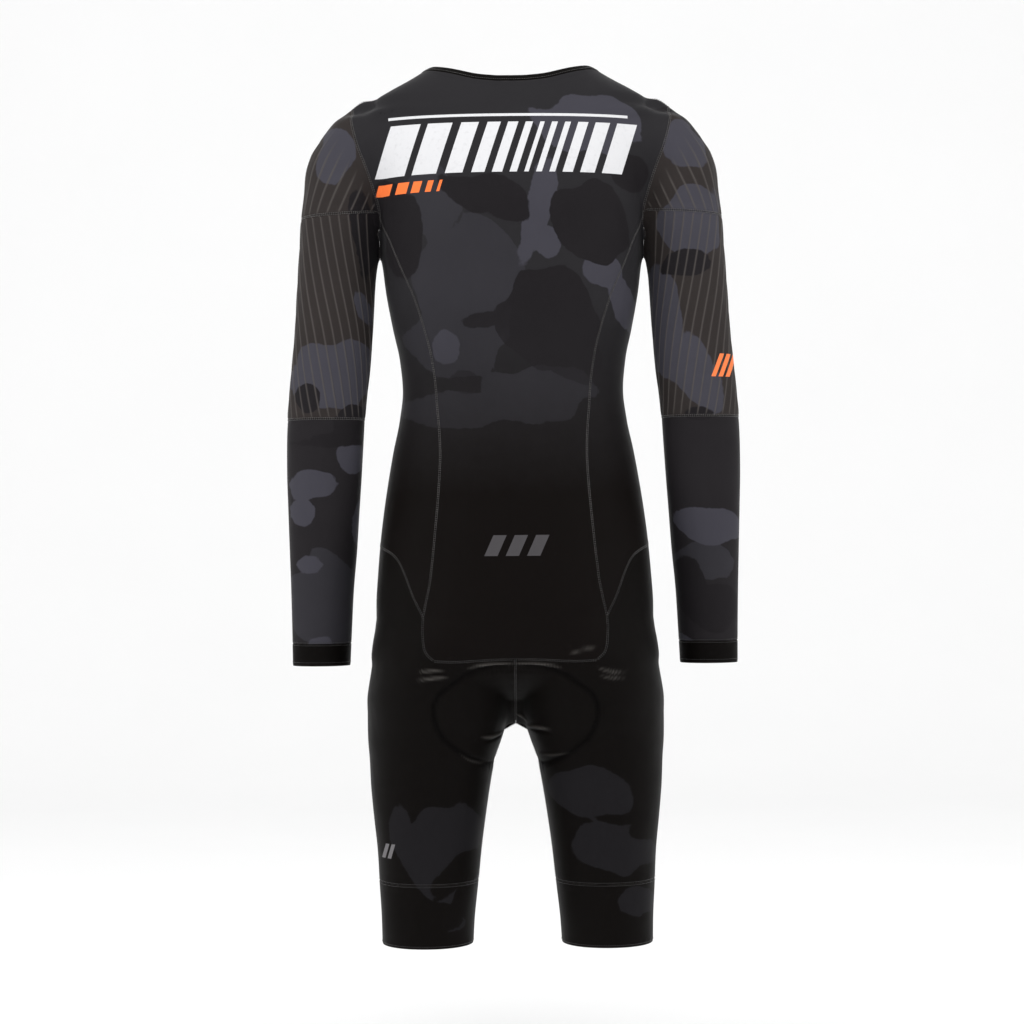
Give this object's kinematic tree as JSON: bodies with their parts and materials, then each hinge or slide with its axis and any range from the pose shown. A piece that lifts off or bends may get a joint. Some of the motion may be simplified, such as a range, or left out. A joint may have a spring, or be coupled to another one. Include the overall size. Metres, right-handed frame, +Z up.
{
  "type": "cycling skinsuit",
  "caption": "Close-fitting one-piece cycling suit with long ribbed sleeves, short legs, front zip and seat pad, in its hollow worn shape.",
  "frame": {"origin": "between the shoulders, at the height of the shoulder seams' inner ends, where the wearer's shoulders carry the suit", "axes": "+Z up along the standing wearer, -Y to the wearer's back, +X to the wearer's right"},
  "size_m": [0.496, 0.2492, 0.9582],
  "materials": {
    "black_cloth": "smooth warp-knit, slight sheen",
    "charcoal_cloth": "smooth warp-knit, slight sheen, camouflage print",
    "ribbed_cloth": "knit with fine raised lengthwise ribs",
    "pad_foam": "brushed face over moulded foam",
    "zip_plastic": "coil zip on a woven tape",
    "dark_metal": "dark enamelled die-cast metal"
  },
  "bodies": {
    "garment": {"back_panel": "charcoal_cloth", "cuff_left": "black_cloth", "cuff_right": "black_cloth", "forearm_left": "charcoal_cloth", "forearm_right": "charcoal_cloth", "front_panel_left": "charcoal_cloth", "front_panel_right": "charcoal_cloth", "leg_gripper_left": "black_cloth", "leg_gripper_right": "black_cloth", "leg_panel_left": "black_cloth", "leg_panel_right": "black_cloth", "neck_binding": "black_cloth", "seat_pad": "pad_foam", "side_panel_left": "charcoal_cloth", "side_panel_right": "charcoal_cloth", "sleeve_cap_left": "ribbed_cloth", "sleeve_cap_right": "ribbed_cloth", "upper_sleeve_left": "ribbed_cloth", "upper_sleeve_right": "ribbed_cloth", "zip_slider": "dark_metal", "zip_tape": "zip_plastic"},
    "pull": {"zip_pull": "dark_metal"}
  },
  "joints": [
    {"name": "pull_hinge", "type": "hinge", "parent": "garment", "child": "pull", "pos_m": [0, 0.0975, -0.07609], "axis": [1, 0, 0], "range_deg": [0, 150]}
  ]
}
